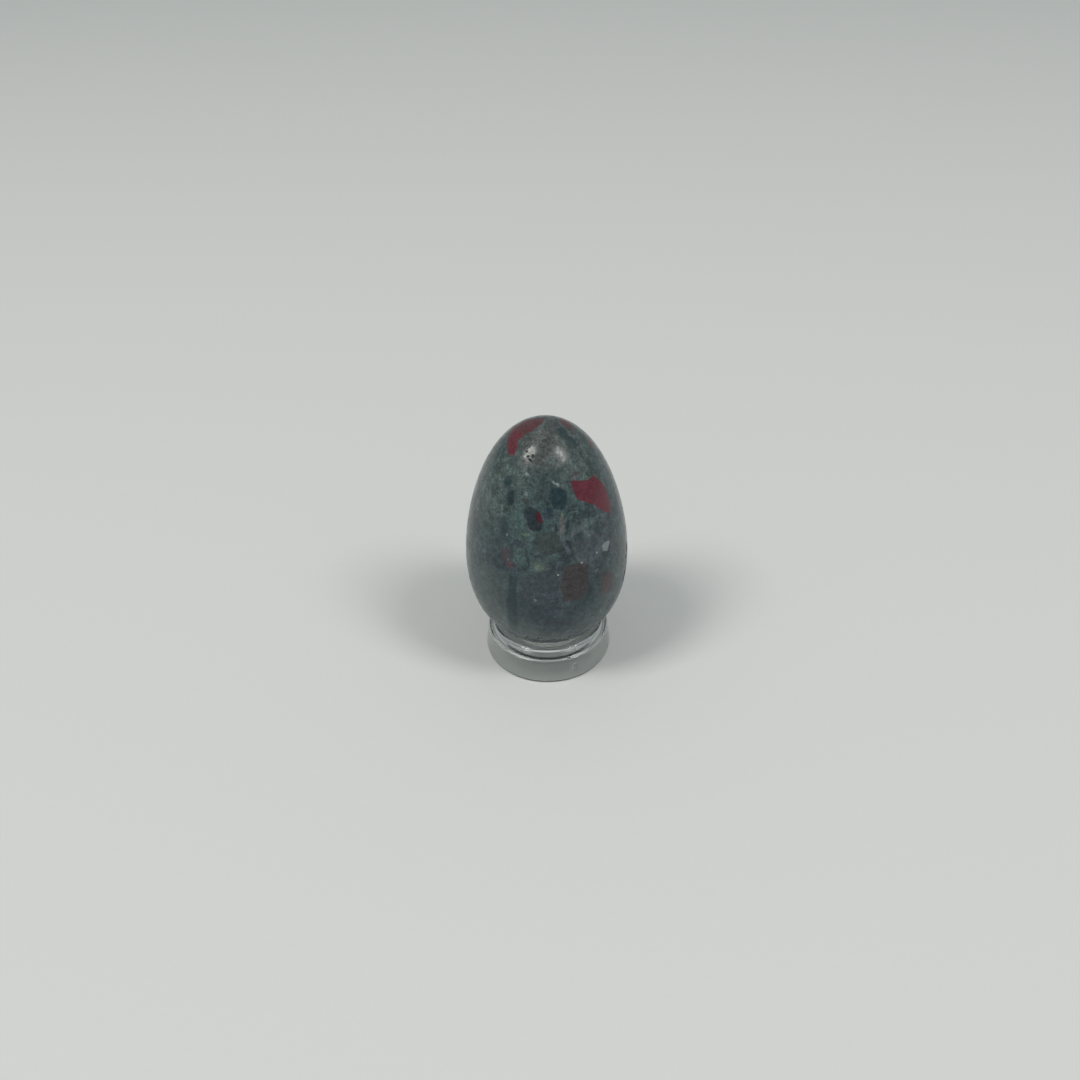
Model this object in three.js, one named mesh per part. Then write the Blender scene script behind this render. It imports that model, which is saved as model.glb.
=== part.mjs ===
// A polished stone egg, small end up, resting by its own weight in a clear moulded ring.
// Millimetres, +Z up. The origin is on the table, under the centre of the ring.

import * as THREE from 'three';

// Egg sizes
const eggHeight = 52;
const eggWidth = 34;
const eggTaper = 0.195;
const eggFullness = 0.13;

// Ring sizes, outside
const footWidth = 27.3;
const ringWidth = 27.6;
const ringWidestHeight = 0.9;
const ledgeWidth = 26.2;
const ledgeHeight = 5.6;
const collarWidth = 24.56;
const rimWidth = 23.52;
const rimHeight = 7.64;

// Ring sizes, inside
const landHeight = 7.45;
const holeWidth = 16.9;
const seatBevelWidth = 0.55;
const undersideHeight = 3.65;
const hollowWidth = 22.2;
const hollowTopHeight = 4.0;
const skirtWall = 1.15;

// Edge rounding
const footOuterRound = 0.45;
const footInnerRound = 0.3;
const bellyRound = 2.0;
const ledgeRound = 0.4;
const ledgeCove = 0.46;
const rimRound = 0.87;
const landRound = 0.3;
const seatRound = 0.2;
const holeRound = 0.13;
const hollowCove = 0.34;

// Clearance between the egg and its seat
const seatGap = 0.3;

// Facets
const segmentsAround = 60;
const eggRows = 32;
const arcStep = Math.PI / 12;
const mostOfEdge = 0.45;

const stoneColour = 0x434b4d;
const stoneRoughness = 0.18;
const clearColour = 0xdde4e2;
const clearRoughness = 0.05;
const clearOpacity = 0.35;

// Finds where a function that starts above zero and ends below it crosses zero.
function crossing(f, low, high) {
  const halvings = 50;
  for (let i = 0; i < halvings; i += 1) {
    const middle = (low + high) / 2;
    if (f(middle) > 0) {
      low = middle;
    } else {
      high = middle;
    }
  }
  return (low + high) / 2;
}

// The egg's outline by angle: 0 is the blunt bottom and half a turn is the small end.
function eggShape(angle) {
  const c = Math.cos(angle);
  return Math.sin(angle) * (1 + eggTaper * c + eggFullness * c * c);
}

function eggShapeSlope(angle) {
  const c = Math.cos(angle);
  const s = Math.sin(angle);
  return c * (1 + eggTaper * c + eggFullness * c * c) - s * s * (eggTaper + 2 * eggFullness * c);
}

const eggWidestAngle = crossing(eggShapeSlope, 0, Math.PI);
const eggRadiusScale = eggWidth / 2 / eggShape(eggWidestAngle);

function eggRadius(angle) {
  return eggRadiusScale * eggShape(angle);
}

function eggRise(angle) {
  return (eggHeight / 2) * (1 - Math.cos(angle));
}

// The seat: a bevel along the egg's own slope, at the inner edge of the land, where the egg rests all the way round.
const holeRadius = holeWidth / 2;
const seatRadius = holeRadius + seatBevelWidth / 2;
const seatAngle = crossing((angle) => seatRadius - eggRadius(angle), 0, eggWidestAngle);
const seatRun = eggRadiusScale * eggShapeSlope(seatAngle);
const seatRise = (eggHeight / 2) * Math.sin(seatAngle);
const seatSlope = Math.atan2(seatRise, seatRun);
const seatBevelDrop = seatBevelWidth * Math.tan(seatSlope);
const seatHeight = landHeight - seatBevelDrop / 2;
const eggBottomHeight = seatHeight - eggRise(seatAngle) + seatGap / Math.cos(seatSlope);

// Turns a closed outline of [radius, height, rounding] corners into points, with an arc at each rounded corner.
function roundedOutline(corners) {
  const points = [];
  corners.forEach(([radius, height, rounding], i) => {
    const corner = new THREE.Vector2(radius, height);
    const back = new THREE.Vector2(...corners.at(i - 1)).sub(corner);
    const ahead = new THREE.Vector2(...corners[(i + 1) % corners.length]).sub(corner);
    const room = mostOfEdge * Math.min(back.length(), ahead.length());
    back.normalize();
    ahead.normalize();
    const halfAngle = Math.acos(back.dot(ahead)) / 2;
    const round = Math.min(rounding, room * Math.tan(halfAngle));
    const centre = back.clone().add(ahead).normalize().multiplyScalar(round / Math.sin(halfAngle)).add(corner);
    const start = back.clone().multiplyScalar(round / Math.tan(halfAngle)).add(corner).sub(centre);
    const turn = Math.sign(ahead.cross(back)) * (Math.PI - 2 * halfAngle);
    const steps = Math.max(1, Math.round(Math.abs(turn) / arcStep));
    for (let step = 0; step <= steps; step += 1) {
      points.push(start.clone().rotateAround(new THREE.Vector2(), (turn * step) / steps).add(centre));
    }
  });
  points.push(points[0].clone());
  return points;
}

// Turns an outline about the vertical axis.
function turned(points) {
  const geometry = new THREE.LatheGeometry(points, segmentsAround);
  geometry.rotateX(Math.PI / 2);
  return geometry;
}

function stoneEgg() {
  const points = [];
  for (let row = 0; row <= eggRows; row += 1) {
    const angle = (Math.PI * row) / eggRows;
    const onAxis = row === 0 || row === eggRows;
    points.push(new THREE.Vector2(onAxis ? 0 : eggRadius(angle), eggRise(angle)));
  }
  const stone = new THREE.MeshStandardMaterial({ color: stoneColour, roughness: stoneRoughness, metalness: 0 });
  const egg = new THREE.Mesh(turned(points), stone);
  egg.name = 'stone_egg';
  egg.position.z = eggBottomHeight;
  return egg;
}

// One moulding: a thick annulus that carries the seat, on a thinner skirt that flares to a foot.
// It narrows above a ledge to a collar, and the hollow inside the skirt is open underneath.
function ringStand() {
  const corners = [
    [footWidth / 2 - skirtWall, 0, footInnerRound],
    [footWidth / 2, 0, footOuterRound],
    [ringWidth / 2, ringWidestHeight, bellyRound],
    [ledgeWidth / 2, ledgeHeight, ledgeRound],
    [collarWidth / 2, ledgeHeight, ledgeCove],
    [rimWidth / 2, rimHeight, rimRound],
    [holeRadius + seatBevelWidth, landHeight, landRound],
    [holeRadius, landHeight - seatBevelDrop, seatRound],
    [holeRadius, undersideHeight, holeRound],
    [hollowWidth / 2, hollowTopHeight, hollowCove],
  ];
  const clear = new THREE.MeshStandardMaterial({
    color: clearColour,
    roughness: clearRoughness,
    metalness: 0,
    transparent: true,
    opacity: clearOpacity,
  });
  const ring = new THREE.Mesh(turned(roundedOutline(corners)), clear);
  ring.name = 'ring_stand';
  return ring;
}

const stoneEggOnStand = new THREE.Group();
stoneEggOnStand.add(ringStand(), stoneEgg());

export default stoneEggOnStand;
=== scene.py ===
"""A polished bloodstone egg, small end up, resting in a low clear ring stand.

Lengths are in metres, apart from the inclusions in the stone, which are placed and sized in millimetres.
"""

import logging
import math
from dataclasses import dataclass, field, replace
from enum import Enum

import bmesh
import bpy
from mathutils import Matrix, Vector


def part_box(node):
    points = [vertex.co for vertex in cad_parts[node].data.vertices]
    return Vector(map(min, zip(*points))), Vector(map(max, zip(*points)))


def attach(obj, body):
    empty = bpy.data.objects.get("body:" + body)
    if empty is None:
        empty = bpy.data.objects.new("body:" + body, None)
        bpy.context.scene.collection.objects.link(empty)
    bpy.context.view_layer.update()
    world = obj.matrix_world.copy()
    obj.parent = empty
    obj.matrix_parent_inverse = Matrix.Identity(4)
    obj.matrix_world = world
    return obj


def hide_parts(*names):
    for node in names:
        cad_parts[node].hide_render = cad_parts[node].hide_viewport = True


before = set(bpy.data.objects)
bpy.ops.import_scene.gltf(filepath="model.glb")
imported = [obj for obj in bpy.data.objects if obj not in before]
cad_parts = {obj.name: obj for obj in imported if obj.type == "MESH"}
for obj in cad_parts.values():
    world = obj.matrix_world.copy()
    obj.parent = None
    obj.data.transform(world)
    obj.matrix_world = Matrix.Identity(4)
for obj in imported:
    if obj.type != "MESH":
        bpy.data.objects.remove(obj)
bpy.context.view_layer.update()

MM = 0.001
LOG = logging.getLogger("stone_egg_on_stand")

Socket = bpy.types.NodeSocket
Value = float | tuple | Vector | Socket
Reach = tuple[float, float, float]
VECTOR, NUMBER, COLOUR = "NodeSocketVector", "NodeSocketFloat", "NodeSocketColor"


def linear(red: int, green: int, blue: int) -> tuple[float, float, float, float]:
    """Turns a colour read off a screen, 0 to 255, into Blender's linear colour.

    Args:
        red: The red part.
        green: The green part.
        blue: The blue part.

    Returns:
        The linear colour with full alpha.
    """
    parts = [part / 255 for part in (red, green, blue)]
    return (*[p / 12.92 if p <= 0.04045 else ((p + 0.055) / 1.055) ** 2.4 for p in parts], 1.0)


class Tint(Enum):
    """The colours in the stone."""

    BODY = linear(56, 69, 74)
    DEEP = linear(42, 57, 65)
    SAGE = linear(82, 95, 93)
    SLATE = linear(64, 72, 80)
    BLUE_BLACK = linear(41, 54, 68)
    TEAL = linear(32, 53, 60)
    CHARCOAL = linear(36, 46, 54)
    UMBER = linear(60, 51, 53)
    OLIVE = linear(65, 79, 81)
    HAZE = linear(92, 93, 91)
    MOSS = linear(54, 61, 61)
    LEAF = linear(72, 94, 92)
    LICHEN = linear(96, 113, 98)
    LAVENDER = linear(92, 100, 108)
    MILK = linear(140, 152, 152)
    JASPER = linear(101, 45, 56)
    JASPER_BROWN = linear(88, 54, 58)
    JASPER_DARK = linear(80, 28, 40)
    JASPER_FAINT = linear(78, 58, 62)
    # Painted shade inside the pits in the polish, not a colour of the stone itself.
    PIT = linear(20, 22, 25)


class Edge(Enum):
    """How sharply an inclusion ends, as a share of its own half width."""

    CRISP = 0.10
    SOFT = 0.35
    CLOUDY = 0.85


@dataclass
class Wires:
    """Adds nodes to one tree and joins them."""

    tree: bpy.types.NodeTree

    def put(self, socket: Socket, value: Value) -> None:
        """Joins a socket to another one, or sets its value.

        Args:
            socket: The input.
            value: An output socket or a plain value.
        """
        if isinstance(value, Socket):
            self.tree.links.new(value, socket)
        else:
            socket.default_value = value

    def add(self, kind: str, inputs: dict | None = None, **settings: object) -> bpy.types.Node:
        """Adds one node.

        Args:
            kind: The node's type.
            inputs: Values or sockets by input name or number.
            **settings: The node's own properties.

        Returns:
            The new node.
        """
        node = self.tree.nodes.new(kind)
        for name, value in settings.items():
            setattr(node, name, value)
        for name, value in (inputs or {}).items():
            self.put(node.inputs[name], value)
        return node

    def maths(self, operation: str, *values: Value, clamp: bool = False) -> Socket:
        """Adds a Math node with one to three inputs, and gives its result."""
        inputs = dict(enumerate(values))
        return self.add("ShaderNodeMath", inputs, operation=operation, use_clamp=clamp).outputs[0]

    def vectors(self, operation: str, *values: Value) -> Socket:
        """Adds a Vector Math node, and gives a number for a length or a dot product, and else a vector."""
        node = self.add("ShaderNodeVectorMath", dict(enumerate(values)), operation=operation)
        return node.outputs["Value" if operation in ("LENGTH", "DOT_PRODUCT") else "Vector"]

    def rise(self, value: Value, start: Value, end: Value) -> Socket:
        """Rises smoothly from 0 where a value is at start to 1 where it is at end, above or below start."""
        limits = {0: value, 1: start, 2: end}
        node = self.add("ShaderNodeMapRange", limits, interpolation_type="SMOOTHSTEP", clamp=False)
        return node.outputs[0]

    def spread(self, value: Value, low: float, high: float) -> Socket:
        """Maps a value within 0 and 1 onto low to high."""
        return self.add("ShaderNodeMapRange", {0: value, 3: low, 4: high}, clamp=False).outputs[0]

    def blend(self, share: Value, under: Value, over: Value, mode: str = "MIX") -> Socket:
        """Lays one colour over another.

        Args:
            share: How much of the upper colour shows.
            under: The lower colour.
            over: The upper colour.
            mode: The node's blend type.

        Returns:
            The colour.
        """
        node = self.add("ShaderNodeMix", data_type="RGBA", blend_type=mode)
        factor, low, high = (node.inputs[i] for i in (0, 6, 7))
        self.put(factor, share)
        self.put(low, under)
        self.put(high, over)
        return node.outputs[2]

    def scaled(self, vector: Value, factor: Value) -> Socket:
        """Multiplies a vector by a number."""
        return self.add("ShaderNodeVectorMath", {0: vector, "Scale": factor}, operation="SCALE").outputs[0]

    def position(self) -> Socket:
        """Gives the place on the piece that is shaded, in millimetres."""
        return self.scaled(self.add("ShaderNodeTexCoord").outputs["Object"], 1 / MM)

    def relief(self, shader: bpy.types.Node, height: Socket) -> None:
        """Gives a shader a height, in millimetres."""
        bump = self.add("ShaderNodeBump", {"Height": height, "Distance": MM})
        self.put(shader.inputs["Normal"], bump.outputs[0])

    def shaded(self, colour: Value, shade: Socket) -> Socket:
        """Darkens or lightens a colour: each of its parts is multiplied by the shade."""
        grey = self.add("ShaderNodeCombineColor", {0: shade, 1: shade, 2: shade})
        return self.blend(1.0, colour, grey.outputs[0], "MULTIPLY")

    def noise(self, place: Socket, scale: Value, detail: float = 3.0, rough: float = 0.55) -> bpy.types.Node:
        """Adds a Noise Texture node: scale is waves in each millimetre, and detail is octaves."""
        inputs = {"Vector": place, "Scale": scale, "Detail": detail, "Roughness": rough}
        return self.add("ShaderNodeTexNoise", inputs, noise_dimensions="3D")

    def wander(self, place: Socket, scale: float, reach: float, detail: float = 2.0) -> Socket:
        """Moves a position about by a smooth noise, so that what is drawn there has a natural edge.

        Args:
            place: The position, in millimetres.
            scale: Waves in each millimetre.
            reach: How far it moves, in millimetres.
            detail: Octaves.

        Returns:
            The moved position.
        """
        parts = self.add("ShaderNodeSeparateColor", {0: self.noise(place, scale, detail).outputs["Color"]})
        drift = self.add("ShaderNodeCombineXYZ", dict(enumerate(parts.outputs)))
        centred = self.vectors("SUBTRACT", drift.outputs[0], (0.5, 0.5, 0.5))
        return self.vectors("ADD", place, self.scaled(centred, 2 * reach))


def start_group(
    name: str, inputs: dict[str, str], outputs: dict[str, str]
) -> tuple[Wires, bpy.types.Node, bpy.types.Node]:
    """Starts a node group with its sockets.

    Args:
        name: The group's name.
        inputs: Socket types by input name.
        outputs: Socket types by output name.

    Returns:
        The wiring, the group's input node and its output node.
    """
    tree = bpy.data.node_groups.new(name, "ShaderNodeTree")
    for direction, sockets in (("INPUT", inputs), ("OUTPUT", outputs)):
        for socket, kind in sockets.items():
            tree.interface.new_socket(socket, in_out=direction, socket_type=kind)
    wires = Wires(tree)
    return wires, wires.add("NodeGroupInput"), wires.add("NodeGroupOutput")


class GroupBook:
    """The node groups that more than one material, or many places in one, use."""

    def __init__(self) -> None:
        """Builds each group once."""
        self.lump = self._lump()
        self.strand = self._strand()
        self.handling = self._handling()

    def _lump(self) -> bpy.types.NodeTree:
        """Builds the mask of an egg-shaped lump buried in the surface.

        Returns:
            The group.
        """
        axes = ("Across", "Up", "Out")
        names = {"Position": VECTOR, "Centre": VECTOR, **{axis: VECTOR for axis in axes}, "Softness": NUMBER}
        wires, source, result = start_group("buried_lump", names, {"Mask": NUMBER})
        away = wires.vectors("SUBTRACT", source.outputs["Position"], source.outputs["Centre"])
        own = wires.add("ShaderNodeCombineXYZ", {
            i: wires.vectors("DOT_PRODUCT", away, source.outputs[axis]) for i, axis in enumerate(axes)
        })
        distance = wires.vectors("LENGTH", own.outputs[0])
        outer = wires.maths("ADD", 1.0, source.outputs["Softness"])
        inner = wires.maths("SUBTRACT", 1.0, source.outputs["Softness"])
        wires.put(result.inputs["Mask"], wires.rise(distance, outer, inner))
        return wires.tree

    def place_lump(
        self, wires: Wires, place: Socket, centre: Vector, facing: Matrix, reach: Reach, edge: Edge
    ) -> Socket:
        """Uses the lump group in a material.

        Args:
            wires: The material's wiring.
            place: The position, in millimetres.
            centre: The lump's middle, in millimetres.
            facing: A rotation whose columns are the lump's own axes.
            reach: Half its size along each of them, in millimetres.
            edge: How sharply it ends.

        Returns:
            Its mask.
        """
        node = wires.add("ShaderNodeGroup", node_tree=self.lump)
        wires.put(node.inputs["Position"], place)
        wires.put(node.inputs["Centre"], centre)
        for i, name in enumerate(("Across", "Up", "Out")):
            wires.put(node.inputs[name], facing.col[i] / reach[i])
        wires.put(node.inputs["Softness"], edge.value)
        return node.outputs["Mask"]

    def _strand(self) -> bpy.types.NodeTree:
        """Builds the mask of one straight stretch of a vein.

        Returns:
            The group.
        """
        names = {"Position": VECTOR, "Start": VECTOR, "End": VECTOR, "Half Width": NUMBER}
        wires, source, result = start_group("vein_stretch", names, {"Mask": NUMBER})
        start = source.outputs["Start"]
        away = wires.vectors("SUBTRACT", source.outputs["Position"], start)
        run = wires.vectors("SUBTRACT", source.outputs["End"], start)
        parts = (wires.vectors("DOT_PRODUCT", away, run), wires.vectors("DOT_PRODUCT", run, run))
        along = wires.maths("DIVIDE", *parts, clamp=True)
        distance = wires.vectors("LENGTH", wires.vectors("SUBTRACT", away, wires.scaled(run, along)))
        limits = [wires.maths("MULTIPLY", source.outputs["Half Width"], share) for share in (1.6, 0.4)]
        wires.put(result.inputs["Mask"], wires.rise(distance, *limits))
        return wires.tree

    def place_marks(self, wires: Wires, place: Socket, fineness: float) -> Socket:
        """Uses the handling group in a material; fineness is waves in each millimetre."""
        node = wires.add("ShaderNodeGroup", {0: place, 1: fineness}, node_tree=self.handling)
        return node.outputs["Height"]

    def _handling(self) -> bpy.types.NodeTree:
        """Builds the fine scratches and rubbed spots that handling leaves on a polished surface.

        Returns:
            The group.
        """
        names = {"Position": VECTOR, "Fineness": NUMBER}
        wires, source, result = start_group("handling_marks", names, {"Height": NUMBER})
        place, fineness = source.outputs["Position"], source.outputs["Fineness"]
        stretched = wires.vectors("MULTIPLY", place, (1.0, 1.0, 0.12))
        lines = wires.noise(stretched, fineness, 4.0, 0.5).outputs["Fac"]
        rubbed = wires.noise(place, wires.maths("MULTIPLY", fineness, 0.2), 2.0, 0.5).outputs["Fac"]
        height = wires.maths("MULTIPLY", wires.rise(lines, 0.62, 0.72), wires.rise(rubbed, 0.45, 0.65))
        wires.put(result.inputs["Height"], height)
        return wires.tree


@dataclass(frozen=True)
class Spot:
    """A place on the egg.

    Attributes:
        azimuth: Degrees round the egg: 0 faces the camera, and 90 is on its right.
        height: Millimetres above the table.
    """

    azimuth: float
    height: float


@dataclass(frozen=True)
class Lump:
    """A rounded inclusion.

    Attributes:
        spot: Its middle.
        reach: Half its width and half its height, in millimetres.
        tint: Its colour, or None where only its extent counts.
        strength: How much it covers, 0 to 1.
        edge: How sharply it ends.
        turn: Degrees anticlockwise, seen from outside.
    """

    spot: Spot
    reach: tuple[float, float]
    tint: Tint | None
    strength: float = 1.0
    edge: Edge = Edge.SOFT
    turn: float = 0.0


@dataclass(frozen=True)
class Cloud(Lump):
    """A rounded inclusion that fades out at its edge."""

    edge: Edge = Edge.CLOUDY


@dataclass(frozen=True)
class Shard:
    """An angular inclusion, drawn as one or more convex outlines.

    Attributes:
        spot: The middle of the outlines.
        tint: Its colour.
        strength: How much it covers, 0 to 1.
        softness: Half the width of its edge, in millimetres.
        outlines: Corners to the right and up from the middle, in millimetres, anticlockwise.
    """

    spot: Spot
    tint: Tint
    strength: float
    softness: float
    outlines: tuple[tuple[tuple[float, float], ...], ...]


@dataclass(frozen=True)
class Vein:
    """A thin seam.

    Attributes:
        course: The places that it runs through.
        width: Its width, in millimetres.
        tint: Its colour.
        strength: How much it covers, 0 to 1.
    """

    course: tuple[Spot, ...]
    width: float
    tint: Tint
    strength: float = 0.6


@dataclass(frozen=True)
class Layer:
    """Inclusions of one kind, which lie over the layers before them.

    Attributes:
        name: Its name.
        pieces: The inclusions.
        is_red: Whether they count as red stone, which has crisper edges and is less glossy.
    """

    name: str
    pieces: tuple[Lump | Shard | Vein, ...]
    is_red: bool = False


# Large soft zones, seen from the front
ZONES = (
    # The next one lightens the top, round and between the two lamp reflections: partly paler stone, partly a
    # painted glow round the reflections.
    Cloud(Spot(10, 56.0), (8.0, 6.5), Tint.HAZE, 0.85),
    Cloud(Spot(-6, 50.4), (2.8, 2.4), Tint.OLIVE, 0.85),
    Cloud(Spot(54, 51.0), (6.0, 5.0), Tint.SAGE, 1.0),
    # The next two darken the egg's left and right sides, where its outline is seen from the front: painted
    # shade that tones down the reflection along the outline.
    Cloud(Spot(88, 36.0), (5.0, 20.0), Tint.BLUE_BLACK, 0.8),
    Cloud(Spot(-88, 36.0), (5.0, 20.0), Tint.BLUE_BLACK, 0.8),
    Cloud(Spot(-50, 48.5), (6.5, 7.0), Tint.SAGE, 0.85),
    Cloud(Spot(8.2, 20.6), (5.0, 3.6), Tint.BLUE_BLACK, 0.6),
    Cloud(Spot(-61.8, 37.5), (4.5, 7.0), Tint.SAGE, 0.35),
    Cloud(Spot(42, 36.0), (4.2, 5.0), Tint.SLATE, 0.9),
    Cloud(Spot(55.7, 26.1), (2.5, 4.0), Tint.SAGE, 0.5),
    Cloud(Spot(32.4, 25.2), (1.8, 4.5), Tint.TEAL, 0.7),
    Cloud(Spot(-16.5, 17.5), (3.5, 2.0), Tint.SAGE, 0.5),
    Cloud(Spot(-17.9, 42.5), (5.0, 4.5), Tint.LEAF, 0.45),
    Cloud(Spot(21.9, 42), (4.2, 3.0), Tint.SAGE, 0.5),
)

# Where the stone is broken small
RUBBLE = (
    Cloud(Spot(-2, 41.5), (11.5, 9.0), None, 0.5),
    Cloud(Spot(35, 44.0), (7.0, 7.0), None, 0.7),
    Cloud(Spot(150, 43.0), (11.0, 8.0), None, 0.9),
    Cloud(Spot(-130, 33.0), (9.0, 11.0), None, 0.8),
)

# Dark clasts
CLASTS = (
    Lump(Spot(-41, 49.6), (0.9, 1.1), Tint.TEAL, 0.8),
    Lump(Spot(-32.7, 47.2), (0.7, 1.5), Tint.CHARCOAL, 0.75, turn=10),
    Lump(Spot(-19.3, 47.3), (0.8, 0.55), Tint.UMBER, 0.6),
    Cloud(Spot(-33.9, 41), (1.2, 2.6), Tint.TEAL, 0.7),
    Lump(Spot(-22.8, 39.0), (0.7, 0.7), Tint.BLUE_BLACK, 0.75),
    Lump(Spot(24.3, 39.8), (1.15, 1.05), Tint.TEAL, 0.7),
    Lump(Spot(32.5, 43.6), (1.6, 0.7), Tint.CHARCOAL, 0.65),
    Lump(Spot(39.6, 40.0), (0.5, 0.7), Tint.TEAL, 0.65),
    Lump(Spot(36, 37.4), (0.9, 1.1), Tint.CHARCOAL, 0.6),
    Lump(Spot(8.2, 42.5), (0.42, 0.75), Tint.CHARCOAL, 0.95),
    Lump(Spot(17.2, 42.3), (0.45, 1.6), Tint.TEAL, 0.8),
    Lump(Spot(1.2, 45.2), (1.1, 1.1), Tint.BLUE_BLACK, 0.7),
    Cloud(Spot(16.5, 51.9), (1.4, 0.8), Tint.TEAL, 0.5),
    Cloud(Spot(62.2, 56.6), (1.4, 0.8), Tint.TEAL, 0.45, turn=-30),
    Cloud(Spot(58, 55.1), (1.5, 0.8), Tint.TEAL, 0.45, turn=-30),
    Cloud(Spot(29.6, 27.6), (0.8, 1.6), Tint.TEAL, 0.6),
    Lump(Spot(40.3, 43.1), (0.9, 0.7), Tint.CHARCOAL, 0.5),
    Lump(Spot(-14.4, 36.3), (0.4, 2.2), Tint.TEAL, 0.75, turn=12),
    Lump(Spot(-16, 33.2), (0.9, 0.9), Tint.TEAL, 0.6),
)

# Pale patches and specks
PALES = (
    Cloud(Spot(-6.6, 34.7), (1.3, 1.0), Tint.LICHEN, 0.65),
    Lump(Spot(4.1, 36.5), (1.6, 0.75), Tint.LEAF, 0.65, turn=25),
    Lump(Spot(21.3, 47.9), (0.45, 1.6), Tint.LEAF, 0.55),
    Lump(Spot(0.7, 42.8), (1.0, 1.5), Tint.LEAF, 0.45),
    Cloud(Spot(-22.4, 43.7), (1.3, 2.6), Tint.LEAF, 0.5),
    Lump(Spot(12.2, 42.7), (0.55, 1.9), Tint.HAZE, 0.75),
    Lump(Spot(12.9, 44.8), (0.3, 0.6), Tint.LICHEN, 0.7),
    Cloud(Spot(-14, 33.2), (1.2, 0.5), Tint.LEAF, 0.5, turn=30),
    Lump(Spot(-16.3, 41.1), (1.0, 0.42), Tint.LICHEN, 0.55),
    Cloud(Spot(28.4, 37.8), (1.6, 1.7), Tint.SLATE, 0.7),
    Lump(Spot(34.3, 50.5), (0.8, 0.45), Tint.LAVENDER, 0.7),
    Cloud(Spot(32.4, 50.8), (0.9, 0.5), Tint.JASPER_FAINT, 0.5),
    Lump(Spot(-21.8, 51.6), (0.4, 0.4), Tint.MILK, 0.6),
    Lump(Spot(-19.3, 48.5), (0.3, 0.6), Tint.MILK, 0.5, turn=30),
    Lump(Spot(-52.1, 49.2), (0.25, 0.25), Tint.MILK, 0.6),
    Lump(Spot(-53, 50.6), (0.6, 0.2), Tint.LAVENDER, 0.5),
    Lump(Spot(-31.3, 40.1), (0.22, 0.24), Tint.MILK, 0.9),
    Lump(Spot(37.8, 35.1), (0.26, 0.26), Tint.MILK, 1.0),
    Lump(Spot(24.4, 34.3), (0.2, 0.2), Tint.MILK, 0.85),
    Lump(Spot(7.1, 32.6), (0.2, 0.2), Tint.MILK, 0.9),
    Lump(Spot(35.7, 31.2), (0.5, 0.4), Tint.LAVENDER, 0.6),
    Lump(Spot(-50.7, 34.3), (0.5, 0.25), Tint.LAVENDER, 0.6),
    Cloud(Spot(-5.2, 28.1), (0.7, 0.45), Tint.LAVENDER, 0.45),
    Lump(Spot(-9, 26.6), (0.25, 0.3), Tint.MILK, 0.4),
    Cloud(Spot(11.1, 21.1), (1.0, 0.9), Tint.SLATE, 0.6),
    Lump(Spot(2, 19.5), (0.9, 0.5), Tint.SLATE, 0.6),
    Lump(Spot(20, 20.0), (0.7, 0.6), Tint.SLATE, 0.6),
    Lump(Spot(-28.5, 35), (0.22, 0.22), Tint.MILK, 0.6),
    Lump(Spot(-27, 34.4), (0.18, 0.2), Tint.MILK, 0.5),
)

# Red jasper
REDS = (
    Cloud(Spot(43.8, 26.3), (1.2, 2.3), Tint.JASPER_FAINT, 0.75),
    Cloud(Spot(-30.9, 35.9), (0.95, 1.7), Tint.JASPER_FAINT, 0.6),
    Cloud(Spot(-26.4, 33.8), (0.6, 0.75), Tint.JASPER, 0.55),
    Cloud(Spot(-72.6, 39.1), (0.8, 1.2), Tint.JASPER_FAINT, 0.8),
    Lump(Spot(90.8, 52.5), (1.1, 0.6), Tint.JASPER, 0.9),
    Cloud(Spot(45.3, 16.2), (1.6, 0.7), Tint.JASPER_FAINT, 0.8),
    Lump(Spot(108, 56.3), (2.0, 1.0), Tint.JASPER_BROWN, 0.9, turn=10),
)

JASPER_SHARDS = (
    Shard(
        Spot(48, 46), Tint.JASPER, 1.0, 0.12,
        (
            ((-4.1, 5.1), (-4.2, 3.3), (-4.3, 2.1), (-3.8, 0.8), (-2.6, -0.2), (-0.4, -2.1), (-0.4, 3.5)),
            (
                (-0.8, 3.4), (-0.8, -1.9), (0.6, -3.7), (2.4, -5.2),
                (3.4, -4.6), (3.6, -2.7), (3.3, 1.0), (1.3, 3.7),
            ),
        ),
    ),
    Shard(
        Spot(-88.3, 56.4), Tint.JASPER_BROWN, 1.0, 0.25,
        ((
            (-1.6, 4.2), (-2.8, 2.0), (-3.0, -0.6), (-2.4, -2.4),
            (1.5, -1.6), (2.3, -0.3), (2.1, 1.7), (0.4, 3.6),
        ),),
    ),
    Shard(
        Spot(-66.8, 54.5), Tint.JASPER, 0.95, 0.2,
        (
            ((-3.9, 2.0), (-2.6, 0.3), (-0.5, -1.1), (0.8, 1.3), (0.6, 2.7)),
            ((-0.5, -1.1), (1.5, -1.7), (2.7, -1.0), (1.9, 0.4), (0.8, 1.4), (-1.0, 0.2)),
        ),
    ),
    Shard(
        Spot(-6.4, 44.4), Tint.JASPER_DARK, 1.0, 0.15,
        (((-0.3, 1.3), (-0.6, 0.5), (-0.3, -0.4), (0.3, -1.1), (0.8, -0.6), (0.2, 1.2)),),
    ),
    Shard(
        Spot(46.7, 35.3), Tint.MILK, 0.75, 0.18,
        (((-1.1, -0.5), (0.2, -1.2), (1.2, 0.2), (1.2, 0.7), (-0.3, 1.0), (-0.9, 0.7)),),
    ),
)

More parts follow.
